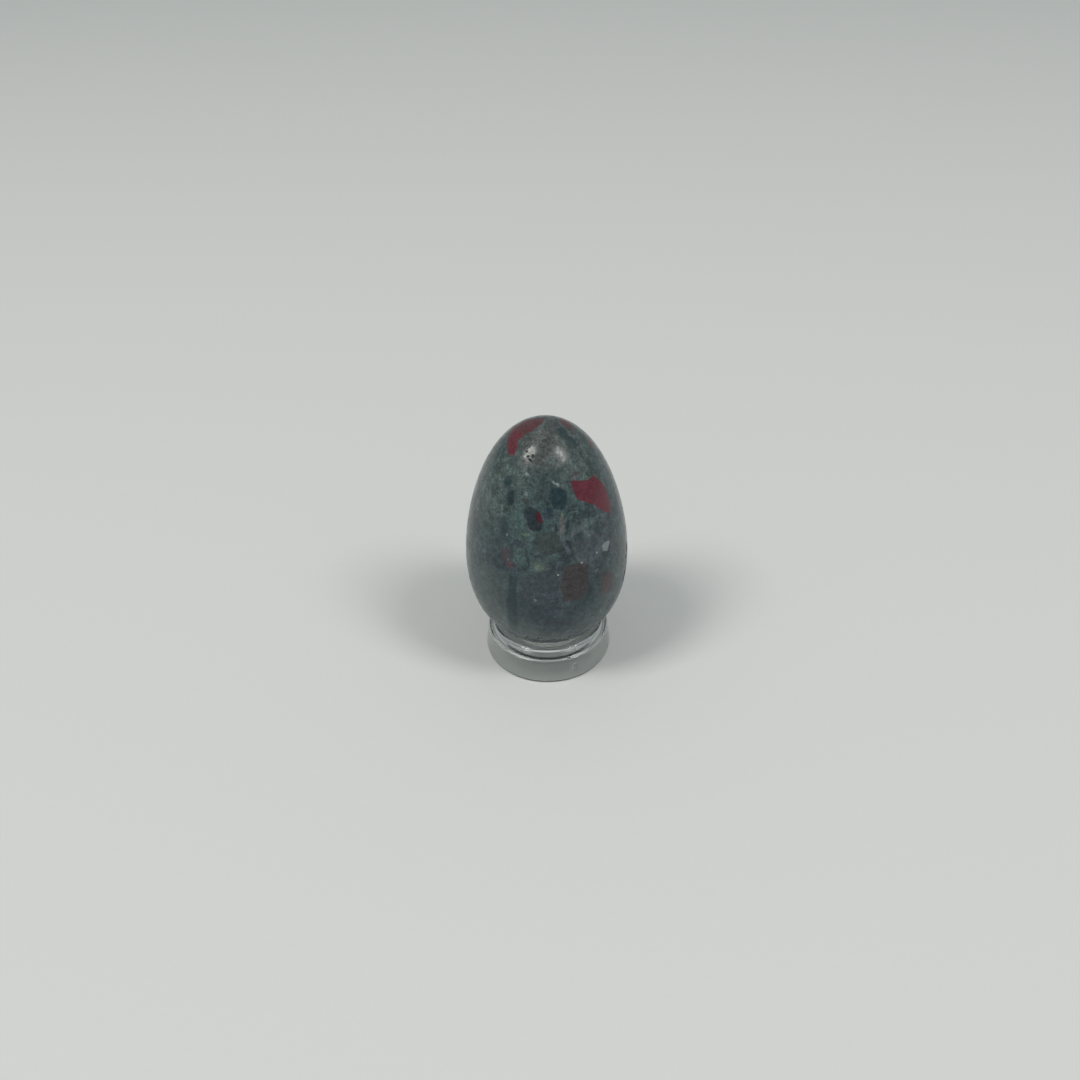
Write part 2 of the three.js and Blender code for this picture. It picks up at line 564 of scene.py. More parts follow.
# Large angular pieces of other stone
SLABS = (
    Shard(
        Spot(-44.3, 24.4), Tint.SAGE, 0.35, 0.15,
        (((-4.7, -4.0), (0.5, -9.0), (3.9, -5.4), (4.4, 7.2), (-1.0, 8.0), (-4.2, 4.0)),),
    ),
    Shard(
        Spot(-26.8, 22.4), Tint.TEAL, 0.8, 0.25,
        (((-1.3, -9.5), (0.6, -8.0), (1.3, -3.1), (1.6, 8.9), (-0.1, 9.2), (-1.1, -5.2)),),
    ),
    Shard(
        Spot(-6.4, 27.4), Tint.BLUE_BLACK, 0.4, 0.5,
        ((
            (-3.6, -2.8), (-0.7, -7.0), (2.9, -5.6), (4.3, -0.5),
            (4.1, 3.7), (1.8, 5.8), (-1.1, 5.8), (-4.0, 1.9),
        ),),
    ),
    Shard(
        Spot(-6.6, 29.3), Tint.SLATE, 0.6, 0.3,
        ((
            (-4.1, -1.2), (-2.5, -3.5), (0.3, -4.2), (2.9, -3.1), (4.1, -0.2),
            (3.5, 3.0), (1.3, 3.7), (-1.6, 3.5), (-3.8, 2.2),
        ),),
    ),
    Shard(
        Spot(18.9, 30.1), Tint.UMBER, 0.85, 0.3,
        (((-2.6, -4.2), (1.3, -4.2), (3.0, -1.9), (3.0, 4.4), (-1.8, 4.4), (-3.1, 0.0)),),
    ),
    Shard(
        Spot(12.5, 47.7), Tint.TEAL, 0.85, 0.25,
        (((0.2, -2.3), (1.35, -1.15), (1.35, 1.35), (0.4, 2.1), (-1.35, 2.3), (-1.9, 0.2), (-1.35, -1.75)),),
    ),
    Shard(
        Spot(-10.9, 44.0), Tint.CHARCOAL, 0.9, 0.2,
        ((
            (-1.9, 0.4), (-1.5, -1.1), (-0.6, -2.1), (0.6, -2.4), (1.6, -1.6),
            (1.9, -0.2), (1.5, 1.0), (0.8, 1.9), (-0.6, 2.5), (-1.9, 2.1),
        ),),
    ),
    Shard(
        Spot(15.7, 38.8), Tint.CHARCOAL, 0.85, 0.15,
        (((-0.9, -0.2), (0.4, -1.3), (0.9, 0.4), (-0.4, 1.1)),),
    ),
    Shard(
        Spot(54, 55.6), Tint.TEAL, 0.5, 0.3,
        (((-1.1, -1.3), (-0.2, -2.3), (0.8, -1.7), (1.3, 2.7), (0.2, 3.2), (-1.0, 1.6)),),
    ),
    Shard(
        Spot(-34.7, 47.3), Tint.TEAL, 0.65, 0.25,
        (((-0.8, -0.4), (0.3, -1.9), (1.2, -1.0), (0.3, 1.7), (-0.9, 1.7)),),
    ),
    Shard(
        Spot(-19.7, 36.1), Tint.LEAF, 0.85, 0.2,
        (((-1.4, -0.9), (-0.5, -2.5), (1.2, -1.0), (1.4, 0.8), (0.7, 2.1), (-1.4, 1.6)),),
    ),
    Shard(
        Spot(1.1, 39.5), Tint.MOSS, 0.65, 0.25,
        (((-3.0, -1.2), (-0.6, -2.6), (2.5, -1.3), (2.8, 0.9), (0.7, 2.6), (-2.4, 2.0)),),
    ),
    Shard(
        Spot(29.6, 37.7), Tint.LAVENDER, 0.35, 0.25,
        (((-2.9, -1.5), (-1.0, -4.4), (2.9, -3.7), (4.3, -0.8), (1.7, 2.6), (-2.1, 5.6), (-2.9, 2.9)),),
    ),
    Shard(
        Spot(46.8, 26.4), Tint.UMBER, 0.5, 0.4,
        (((-2.6, 1.1), (-1.4, -2.2), (1.2, -3.4), (3.4, -1.7), (1.1, 2.5), (-1.6, 3.6)),),
    ),
)

# More slabs round the sides and back: which shape, degrees round, height and colour
UNSEEN_SLABS = tuple(
    replace(SLABS[shape], spot=Spot(azimuth, height), tint=tint, strength=0.7)
    for shape, azimuth, height, tint in (
        (4, 158, 34.5, Tint.UMBER),
        (10, -146, 38.0, Tint.LEAF),
        (12, -112, 33.0, Tint.SAGE),
        (3, 116, 30.5, Tint.BLUE_BLACK),
        (6, 178, 26.0, Tint.CHARCOAL),
        (9, 139, 46.0, Tint.CHARCOAL),
        (11, -156, 45.5, Tint.TEAL),
        (3, -128, 24.5, Tint.SLATE),
        (9, 172, 40.0, Tint.LICHEN),
        (4, 128, 22.5, Tint.OLIVE),
        (9, -172, 33.0, Tint.CHARCOAL),
        (6, -138, 50.5, Tint.MOSS),
    )
)

VEINS = (
    Vein((Spot(-31.4, 45.6), Spot(-27.7, 43.3), Spot(-23.3, 41.2)), 0.45, Tint.LEAF),
    Vein((Spot(-23.8, 46.8), Spot(-25.8, 44.1), Spot(-23.3, 41.2)), 0.35, Tint.LEAF),
    Vein((Spot(-17.4, 43.9), Spot(-14.7, 42.2), Spot(-10.9, 41.4)), 0.35, Tint.LAVENDER),
    Vein((Spot(7.7, 50.6), Spot(13, 49.9)), 0.42, Tint.MILK, 0.8),
    Vein((Spot(13, 49.9), Spot(20.8, 49.4)), 0.2, Tint.LAVENDER, 0.5),
    Vein((Spot(20.2, 40.9), Spot(18.1, 39.9)), 0.3, Tint.LAVENDER, 0.7),
    Vein((Spot(8, 43.7), Spot(9.2, 41.3), Spot(12, 38.9)), 0.3, Tint.LAVENDER),
    Vein((Spot(20.4, 44.1), Spot(17.6, 41.7), Spot(16.2, 40.1)), 0.45, Tint.LEAF),
    Vein((Spot(13.5, 38.9), Spot(15.2, 37.3)), 0.8, Tint.LAVENDER, 0.45),
    Vein((Spot(-15.1, 52.2), Spot(-19.2, 49.8), Spot(-21.3, 47.9)), 0.25, Tint.LAVENDER, 0.4),
    Vein((Spot(26.9, 42.1), Spot(30.5, 40.1), Spot(34, 38.9)), 0.3, Tint.LAVENDER, 0.5),
    Vein((Spot(40.6, 19.7), Spot(41.9, 18.4)), 0.35, Tint.LAVENDER, 0.6),
    Vein((Spot(64.9, 20.5), Spot(63, 18.4)), 0.35, Tint.LICHEN, 0.6),
    Vein((Spot(-6, 41.1), Spot(-2.5, 40.4), Spot(3, 41.1)), 0.3, Tint.LEAF, 0.4),
)

# Patches and specks round the sides and back
UNSEEN = (
    Lump(Spot(128, 41.0), (2.6, 3.4), Tint.JASPER, 0.95, Edge.CRISP, 20),
    Lump(Spot(137, 38.4), (1.6, 1.3), Tint.JASPER, 0.95, Edge.CRISP, -30),
    Lump(Spot(-152, 31.0), (1.9, 1.4), Tint.JASPER_BROWN, 0.95, Edge.CRISP, -25),
    Lump(Spot(-147, 29.6), (1.3, 0.9), Tint.JASPER, 0.95, Edge.CRISP, 30),
    Lump(Spot(-160, 41.5), (0.9, 1.3), Tint.JASPER_DARK, 0.95, Edge.CRISP, 25),
    Lump(Spot(-135, 42.5), (0.25, 0.25), Tint.MILK, 0.9),
    Lump(Spot(164, 29.0), (0.22, 0.22), Tint.MILK, 0.9),
    Lump(Spot(145, 36.0), (0.5, 0.3), Tint.MILK, 0.7, turn=30),
    Lump(Spot(-118, 24.0), (1.5, 2.6), Tint.UMBER, 0.8, turn=10),
    Lump(Spot(171, 48.5), (1.2, 0.8), Tint.JASPER_DARK, 0.9, turn=40),
    Lump(Spot(100, 31.0), (0.7, 0.9), Tint.JASPER, 0.9),
    Cloud(Spot(-100, 44.0), (3.0, 4.0), Tint.SAGE, 0.5, turn=15),
    Cloud(Spot(150, 27.0), (4.0, 5.5), Tint.BLUE_BLACK, 0.7),
    Cloud(Spot(-170, 42.0), (3.5, 4.0), Tint.TEAL, 0.6),
    Cloud(Spot(112, 20.0), (3.0, 3.0), Tint.SLATE, 0.5),
    Lump(Spot(-132, 37.0), (1.4, 2.0), Tint.LEAF, 0.6, turn=-20),
    Cloud(Spot(-165, 24.0), (1.8, 1.2), Tint.LICHEN, 0.5, turn=20),
    Lump(Spot(155, 36.5), (1.1, 1.7), Tint.CHARCOAL, 0.7),
    Lump(Spot(-140, 47.0), (1.2, 1.5), Tint.CHARCOAL, 0.7, turn=30),
    Lump(Spot(92, 45.0), (1.3, 2.0), Tint.TEAL, 0.6),
)

# Small breaks in the polish along the right side, and in the left of the two lamp reflections, each darkened
# inside with painted shade
PITS = (
    Lump(Spot(77.4, 28.9), (1.0, 0.55), Tint.PIT, 0.9, turn=70),
    Lump(Spot(74.6, 27.4), (0.6, 0.3), Tint.PIT, 0.8),
    Lump(Spot(71.4, 23.2), (1.1, 0.5), Tint.PIT, 0.85, turn=60),
    Lump(Spot(70.7, 20.3), (1.0, 0.4), Tint.PIT, 0.8, turn=60),
    Lump(Spot(48.8, 15.8), (1.2, 0.3), Tint.PIT, 0.6, turn=40),
    Lump(Spot(-26.5, 54.1), (0.35, 0.22), Tint.PIT, 0.7, turn=20),
    Lump(Spot(-21.1, 53.7), (0.4, 0.2), Tint.PIT, 0.7, turn=-20),
    Lump(Spot(-18.8, 54.3), (0.25, 0.3), Tint.PIT, 0.6, turn=30),
    Lump(Spot(-31.7, 54.7), (0.25, 0.2), Tint.PIT, 0.5),
)

LAYERS = (
    Layer("slabs", SLABS),
    Layer("unseen_slabs", UNSEEN_SLABS),
    Layer("dark_clasts", CLASTS),
    Layer("pale_patches", PALES),
    Layer("unseen_patches", UNSEEN),
    Layer("red_patches", REDS, is_red=True),
    Layer("veins", VEINS),
    Layer("jasper_shards", JASPER_SHARDS, is_red=True),
)


@dataclass
class StoneEgg:
    """The egg: one turned solid, and the stone that it is cut from."""

    taper: float = 0.195
    fullness: float = 0.13
    rows: int = 150
    segments: int = 240

    def __post_init__(self) -> None:
        """Takes the egg's place and size from the frame."""
        low, high = (Vector(corner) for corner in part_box("stone_egg"))
        self.bottom = low.z
        self.height = high.z - low.z
        self.radius = (high.x - low.x) / 2
        samples = 720
        self.widest = max(self.shape(math.pi * i / samples) for i in range(samples))

    def shape(self, angle: float) -> float:
        """The outline's half width at an angle from the blunt bottom end, before it is scaled."""
        c = math.cos(angle)
        return math.sin(angle) * (1 + self.taper * c + self.fullness * c * c)

    def outline(self, angle: float) -> Vector:
        """The outline's point at an angle from the bottom, in the plane of the camera."""
        rise = self.height / 2 * (1 - math.cos(angle))
        return Vector((self.radius * self.shape(angle) / self.widest, 0, self.bottom + rise))

    def setting(self, spot: Spot) -> tuple[Vector, Matrix]:
        """Finds where a spot lies and which way its surface faces.

        Args:
            spot: The place on the egg.

        Returns:
            The point in millimetres, and a rotation whose columns point right, up and out of the surface.
        """
        angle = math.acos(1 - 2 * (spot.height * MM - self.bottom) / self.height)
        step = 0.001
        point = self.outline(angle)
        up = (self.outline(angle + step) - self.outline(angle - step)).normalized()
        turn = Matrix.Rotation(math.radians(spot.azimuth - 90), 3, "Z")
        point, up = turn @ point, turn @ up
        right = turn @ Vector((0, 1, 0))
        return point / MM, Matrix((right, up, right.cross(up))).transposed()

    def build(self) -> bpy.types.Object:
        """Spins the outline into the egg.

        Returns:
            The egg, riding on its body.
        """
        mesh = bmesh.new()
        points = [mesh.verts.new(self.outline(math.pi * row / self.rows)) for row in range(self.rows + 1)]
        points[0].co.x = points[-1].co.x = 0
        edges = [mesh.edges.new(pair) for pair in zip(points, points[1:])]
        egg = turned_piece(mesh, points + edges, "polished_egg", self.segments)
        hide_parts("stone_egg")
        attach(egg, "stone_egg")
        return egg


@dataclass
class RingStand:
    """The clear ring: an annulus with the seat in it, a collar above a ledge, and a thin skirt below."""

    foot_radius: float = 13.65 * MM
    foot_inner_round: float = 0.3 * MM
    foot_outer_round: float = 0.45 * MM
    belly_radius: float = 13.8 * MM
    belly_height: float = 0.9 * MM
    belly_round: float = 2.0 * MM
    ledge_radius: float = 13.1 * MM
    ledge_height: float = 5.6 * MM
    ledge_round: float = 0.4 * MM
    collar_radius: float = 12.28 * MM
    collar_cove: float = 0.46 * MM
    rim_radius: float = 11.76 * MM
    rim_height: float = 7.64 * MM
    rim_round: float = 0.87 * MM
    land_height: float = 7.45 * MM
    land_round: float = 0.3 * MM
    hole_radius: float = 8.45 * MM
    hole_round: float = 0.13 * MM
    seat_width: float = 0.55 * MM
    seat_drop: float = 0.36 * MM
    seat_round: float = 0.2 * MM
    underside_height: float = 3.65 * MM
    hollow_radius: float = 11.1 * MM
    hollow_height: float = 4.0 * MM
    hollow_cove: float = 0.34 * MM
    skirt_wall: float = 1.15 * MM
    arc_step: float = math.radians(5)
    segments: int = 256

    def corners(self) -> list[tuple[float, float, float]]:
        """The outline's corners.

        Returns:
            Radius, height and rounding of each corner, anticlockwise from the foot's inner edge.
        """
        return [
            (self.foot_radius - self.skirt_wall, 0, self.foot_inner_round),
            (self.foot_radius, 0, self.foot_outer_round),
            (self.belly_radius, self.belly_height, self.belly_round),
            (self.ledge_radius, self.ledge_height, self.ledge_round),
            (self.collar_radius, self.ledge_height, self.collar_cove),
            (self.rim_radius, self.rim_height, self.rim_round),
            (self.hole_radius + self.seat_width, self.land_height, self.land_round),
            (self.hole_radius, self.land_height - self.seat_drop, self.seat_round),
            (self.hole_radius, self.underside_height, self.hole_round),
            (self.hollow_radius, self.hollow_height, self.hollow_cove),
        ]

    def outline(self) -> list[Vector]:
        """Rounds the corners.

        Returns:
            The points of the closed outline.
        """
        corners = [(Vector((radius, 0, height)), rounding) for radius, height, rounding in self.corners()]
        points = []
        for i, (corner, rounding) in enumerate(corners):
            back = (corners[i - 1][0] - corner).normalized()
            ahead = (corners[(i + 1) % len(corners)][0] - corner).normalized()
            half = back.angle(ahead) / 2
            centre = corner + (back + ahead).normalized() * rounding / math.sin(half)
            start = corner + back * rounding / math.tan(half) - centre
            turn = math.copysign(math.pi - 2 * half, ahead.cross(back).y)
            steps = max(2, round(abs(turn) / self.arc_step))
            for step in range(steps + 1):
                points.append(centre + Matrix.Rotation(turn * step / steps, 3, "Y") @ start)
        return points

    def build(self) -> bpy.types.Object:
        """Spins the outline into the ring.

        Returns:
            The ring, riding on its body.
        """
        mesh = bmesh.new()
        points = [mesh.verts.new(point) for point in self.outline()]
        edges = [mesh.edges.new((point, points[(i + 1) % len(points)])) for i, point in enumerate(points)]
        ring = turned_piece(mesh, points + edges, "clear_ring", self.segments)
        weighted = ring.modifiers.new("flats_stay_flat", "WEIGHTED_NORMAL")
        weighted.weight = 100
        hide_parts("ring_stand")
        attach(ring, "ring_stand")
        return ring


def turned_piece(mesh: bmesh.types.BMesh, outline: list, name: str, segments: int) -> bpy.types.Object:
    """Spins an outline about the upright axis and makes it a smooth object.

    Args:
        mesh: The mesh that holds the outline.
        outline: Its vertices and edges.
        name: The new object's name.
        segments: Steps in the full turn.

    Returns:
        The object, at the origin.
    """
    axis = {"cent": (0, 0, 0), "axis": (0, 0, 1), "angle": math.tau}
    same_place = 0.00001 * MM
    bmesh.ops.spin(mesh, geom=outline, steps=segments, use_merge=True, **axis)
    bmesh.ops.remove_doubles(mesh, verts=mesh.verts, dist=same_place)
    bmesh.ops.recalc_face_normals(mesh, faces=mesh.faces)
    return finished(mesh, name)


def finished(mesh: bmesh.types.BMesh, name: str) -> bpy.types.Object:
    """Makes an object of a mesh, with smooth faces.

    Args:
        mesh: The mesh, which is freed.
        name: The object's name.

    Returns:
        The object, in the scene.
    """
    data = bpy.data.meshes.new(name)
    for face in mesh.faces:
        face.smooth = True
    mesh.to_mesh(data)
    mesh.free()
    piece = bpy.data.objects.new(name, data)
    bpy.context.collection.objects.link(piece)
    return piece


def new_material(name: str) -> tuple[bpy.types.Material, Wires, bpy.types.Node]:
    """Starts a material.

    Args:
        name: Its name.

    Returns:
        The material, its wiring and its shader.
    """
    material = bpy.data.materials.new(name)
    material.use_nodes = True
    return material, Wires(material.node_tree), material.node_tree.nodes["Principled BSDF"]


@dataclass
class Inlay:
    """The inclusions laid one over another, kept apart from the stone between them.

    Attributes:
        wires: The wiring that it adds to.
        colour: The inclusions' colour, black between them.
        clear: How much of the stone between them shows, 0 to 1.
        red: How much is red stone, 0 to 1.
    """

    wires: Wires
    colour: Value = (0.0, 0.0, 0.0, 1.0)
    clear: Value = 1.0
    red: Value = 0.0

    def lay(self, mask: Socket, piece: Lump | Shard | Vein, is_red: bool) -> None:
        """Lays one inclusion over the others.

        Args:
            mask: Where it is.
            piece: The inclusion.
            is_red: Whether it counts as red stone, which is less glossy.
        """
        share = self.wires.maths("MULTIPLY", mask, piece.strength)
        rest = self.wires.maths("SUBTRACT", 1.0, share)
        self.colour = self.wires.blend(share, self.colour, piece.tint.value)
        self.clear = self.wires.maths("MULTIPLY", self.clear, rest)
        left = self.wires.maths("MULTIPLY", self.red, rest)
        self.red = self.wires.maths("MAXIMUM", left, share if is_red else 0.0)


@dataclass(frozen=True)
class Bloodstone:
    """Polished grey-green stone with red jasper in it.

    Attributes:
        egg: The egg that it is cut as.
        groups: The shared node groups.
        ior: Its refraction.
        gloss: The least and the most roughness.
        speck: Half the size below which an inclusion has a crisp edge, in millimetres.
        shard_depth: How deep a shard goes, in millimetres.
        least_rubble: How much the stone is broken where it is least broken, 0 to 1.
        broken_grains: Pieces in each millimetre and their contrast, for the large and the small ones.
        leaf_share: How green the greenest of them are.
        red_calm: How much weaker the flecks are in red stone.
        red_dullness: Roughness added in red stone.
        pit_dullness: Roughness added in a pit.
        swell: Height of the slow unevenness, in millimetres, as the next three are.
        mark_depth: Depth of the handling marks.
        pore_depth: Depth of the pores.
        pit_depth: Depth of the pits.
    """

    egg: StoneEgg
    groups: GroupBook
    ior: float = 1.42
    gloss: tuple[float, float] = (0.10, 0.34)
    speck: float = 0.6
    shard_depth: float = 6.0
    least_rubble: float = 0.35
    broken_grains: tuple[tuple[float, float], ...] = ((0.42, 1.2), (1.05, 1.0))
    leaf_share: float = 0.35
    red_calm: float = 0.6
    red_dullness: float = 0.05
    pit_dullness: float = 0.5
    swell: float = 0.05
    mark_depth: float = 0.0015
    pore_depth: float = 0.003
    pit_depth: float = 0.1

    def lump_mask(self, wires: Wires, place: Socket, lump: Lump) -> Socket:
        """Draws one lump.

        Args:
            wires: The material's wiring.
            place: The position, in millimetres.
            lump: What is drawn.

        Returns:
            Its mask.
        """
        centre, facing = self.egg.setting(lump.spot)
        turned = facing @ Matrix.Rotation(math.radians(lump.turn), 3, "Z")
        depth = max(1.0, min(lump.reach))
        return self.groups.place_lump(wires, place, centre, turned, (*lump.reach, depth), lump.edge)

    def shard_mask(self, wires: Wires, place: Socket, shard: Shard) -> Socket:
        """Draws one shard.

        Args:
            wires: The material's wiring.
            place: The position, in millimetres.
            shard: What is drawn.

        Returns:
            Its mask.
        """
        centre, facing = self.egg.setting(shard.spot)
        away = wires.vectors("SUBTRACT", place, centre)
        nearest = None
        for corners in shard.outlines:
            worst = None
            for i, corner in enumerate(corners):
                start, end = Vector(corner), Vector(corners[(i + 1) % len(corners)])
                run = (end - start).normalized()
                outward = Vector((run.y, -run.x, 0))
                reach = outward.dot(start.to_3d())
                beyond = wires.maths("SUBTRACT", wires.vectors("DOT_PRODUCT", away, facing @ outward), reach)
                worst = beyond if worst is None else wires.maths("MAXIMUM", worst, beyond)
            nearest = worst if nearest is None else wires.maths("MINIMUM", nearest, worst)
        inside = wires.rise(nearest, shard.softness, -shard.softness)
        level = wires.vectors("DOT_PRODUCT", away, facing.col[2])
        near = wires.rise(wires.maths("ABSOLUTE", level), self.shard_depth, self.shard_depth - 1)
        return wires.maths("MULTIPLY", inside, near)

    def vein_mask(self, wires: Wires, place: Socket, vein: Vein) -> Socket:
        """Draws one vein.

        Args:
            wires: The material's wiring.
            place: The position, in millimetres.
            vein: What is drawn.

        Returns:
            Its mask.
        """
        mask = None
        for start, end in zip(vein.course, vein.course[1:]):
            node = wires.add("ShaderNodeGroup", node_tree=self.groups.strand)
            values = {"Position": place, "Start": self.egg.setting(start)[0], "End": self.egg.setting(end)[0]}
            for name, value in values.items():
                wires.put(node.inputs[name], value)
            node.inputs["Half Width"].default_value = vein.width / 2
            stretch = node.outputs["Mask"]
            mask = stretch if mask is None else wires.maths("MAXIMUM", mask, stretch)
        return mask

    def layer_group(self, layer: Layer) -> bpy.types.NodeTree:
        """Builds the node group that lays one layer over what is under it.

        Args:
            layer: What is laid.

        Returns:
            The group.
        """
        places = {"Broken": VECTOR, "Loose": VECTOR, "Crisp": VECTOR}
        laid = {"Colour": COLOUR, "Clear": NUMBER, "Red": NUMBER}
        wires, source, result = start_group(layer.name, {**places, **laid}, laid)
        broken, loose, crisp = (source.outputs[name] for name in places)
        inlay = Inlay(wires, *(source.outputs[name] for name in laid))
        for piece in layer.pieces:
            if isinstance(piece, Shard):
                mask = self.shard_mask(wires, crisp if layer.is_red else broken, piece)
            elif isinstance(piece, Vein):
                mask = self.vein_mask(wires, broken, piece)
            else:
                small = max(piece.reach) < self.speck
                place = crisp if small else loose if piece.edge is Edge.CLOUDY else broken
                mask = self.lump_mask(wires, place, piece)
            inlay.lay(mask, piece, layer.is_red)
        for name, value in zip(laid, (inlay.colour, inlay.clear, inlay.red)):
            wires.put(result.inputs[name], value)
        return wires.tree

    def uneven(self, wires: Wires, place: Socket, scale: float, low: float, high: float) -> Socket:
        """Makes a patchy number from low to high; scale is patches in each millimetre."""
        noise = wires.noise(place, scale, 5.0, 0.65).outputs["Fac"]
        return wires.spread(wires.rise(noise, 0.3, 0.7), low, high)

    def ground(self, wires: Wires, place: Socket, loose: Socket) -> Socket:
        """Colours the stone between its inclusions: clouds, zones, broken pieces with pale seams, and grain.

        Args:
            wires: The material's wiring.
            place: The position, in millimetres.
            loose: The same, moved about.

        Returns:
            The colour.
        """
        drift = wires.wander(place, 0.30, 2.2, 3.0)
        clouds = wires.noise(drift, 0.13, 4.0).outputs["Fac"]
        colour = wires.blend(wires.rise(clouds, 0.34, 0.56), Tint.DEEP.value, Tint.BODY.value)
        colour = wires.blend(wires.rise(clouds, 0.52, 0.72), colour, Tint.SAGE.value)
        hazes = wires.noise(wires.vectors("ADD", drift, (31.0, 7.0, 11.0)), 0.16, 3.0).outputs["Fac"]
        colour = wires.blend(wires.spread(wires.rise(hazes, 0.48, 0.66), 0.0, 0.6), colour, Tint.SLATE.value)
        for zone in ZONES:
            share = wires.maths("MULTIPLY", self.lump_mask(wires, loose, zone), zone.strength)
            colour = wires.blend(share, colour, zone.tint.value)
        rubble = self.least_rubble
        for area in RUBBLE:
            share = wires.maths("MULTIPLY", self.lump_mask(wires, loose, area), area.strength)
            rubble = wires.maths("MAXIMUM", rubble, share)
        crazed = wires.wander(place, 0.4, 0.9, 2.0)
        for scale, contrast in self.broken_grains:
            grid = {"Vector": crazed, "Scale": scale}
            pieces = wires.add("ShaderNodeTexVoronoi", grid)
            chance = wires.add("ShaderNodeSeparateColor", {0: pieces.outputs["Color"]})
            tone = wires.maths("SUBTRACT", chance.outputs[0], 0.5)
            shade = wires.maths("MULTIPLY_ADD", wires.maths("MULTIPLY", tone, rubble), contrast, 1.0)
            colour = wires.shaded(colour, shade)
            green = wires.maths("MULTIPLY", wires.rise(chance.outputs[1], 0.6, 1.0), rubble)
            colour = wires.blend(wires.maths("MULTIPLY", green, self.leaf_share), colour, Tint.LEAF.value)
            edges = wires.add("ShaderNodeTexVoronoi", grid, feature="DISTANCE_TO_EDGE")
            seam = wires.maths("MULTIPLY", wires.rise(edges.outputs["Distance"], 0.12, 0.0), rubble)
            seam = wires.maths("MULTIPLY", seam, self.uneven(wires, place, 0.5, 0.0, 1.1))
            colour = wires.blend(seam, colour, Tint.LEAF.value)
        coarse, fine = self.uneven(wires, place, 0.75, 0.7, 1.3), self.uneven(wires, place, 2.4, 0.62, 1.38)
        return wires.shaded(colour, wires.maths("MULTIPLY", coarse, fine))

    def build(self) -> bpy.types.Material:
        """Makes the material.

        Returns:
            The material.
        """
        material, wires, shader = new_material("polished_bloodstone")
        place = wires.position()
        broken = wires.wander(place, 1.1, 0.35, 3.0)
        loose = wires.wander(place, 0.45, 1.1)
        crisp = wires.wander(place, 1.4, 0.18)
        inlay = Inlay(wires)
        for layer in LAYERS:
            values = (broken, loose, crisp, inlay.colour, inlay.clear, inlay.red)
            laid = wires.add("ShaderNodeGroup", dict(enumerate(values)), node_tree=self.layer_group(layer))
            inlay = Inlay(wires, *laid.outputs)
        pitted = 0.0
        # Each pit is laid in painted shade, and its mask also dulls and sinks the surface in polish().
        for pit in PITS:
            mask = self.lump_mask(wires, broken, pit)
            inlay.lay(mask, pit, False)
            pitted = wires.maths("MAXIMUM", pitted, mask)
        coarse, fine = self.uneven(wires, place, 0.9, 0.6, 1.4), self.uneven(wires, place, 2.6, 0.55, 1.45)
        flecks = wires.maths("MULTIPLY", coarse, fine)
        calm = wires.maths("MULTIPLY_ADD", inlay.red, -self.red_calm, 1.0)
        flecks = wires.maths("MULTIPLY_ADD", wires.maths("SUBTRACT", flecks, 1.0), calm, 1.0)
        between = wires.shaded(self.ground(wires, place, loose), inlay.clear)
        stone = wires.blend(1.0, between, wires.shaded(inlay.colour, flecks), "ADD")
        wires.put(shader.inputs["Base Color"], stone)
        self.polish(wires, shader, place, inlay.red, pitted)
        return material

    def polish(
        self, wires: Wires, shader: bpy.types.Node, place: Socket, jasper: Socket, pitted: Socket
    ) -> None:
        """Sets the gloss and the small faults in it.

        Args:
            wires: The material's wiring.
            shader: The material's shader.
            place: The position, in millimetres.
            jasper: Where the red stone is.
            pitted: Where the surface is broken.
        """
        worn = wires.noise(place, 0.9, 4.0, 0.7).outputs["Fac"]
        rough = wires.spread(wires.rise(worn, 0.3, 0.7), *self.gloss)
        rough = wires.maths("ADD", rough, wires.maths("MULTIPLY", jasper, self.red_dullness))
        rough = wires.maths("ADD", rough, wires.maths("MULTIPLY", pitted, self.pit_dullness), clamp=True)
        wires.put(shader.inputs["Roughness"], rough)
        shader.inputs["IOR"].default_value = self.ior
        marks = self.groups.place_marks(wires, place, 4.0)
        unevenness = wires.noise(place, 0.22, 2.0).outputs["Fac"]
        pores = wires.add("ShaderNodeTexVoronoi", {"Vector": place, "Scale": 1.3})
        pore = wires.rise(pores.outputs["Distance"], 0.16, 0.05)
        height = wires.maths("MULTIPLY", unevenness, self.swell)
        for fault, depth in ((marks, self.mark_depth), (pore, self.pore_depth), (pitted, self.pit_depth)):
            height = wires.maths("SUBTRACT", height, wires.maths("MULTIPLY", fault, depth))
        wires.relief(shader, height)


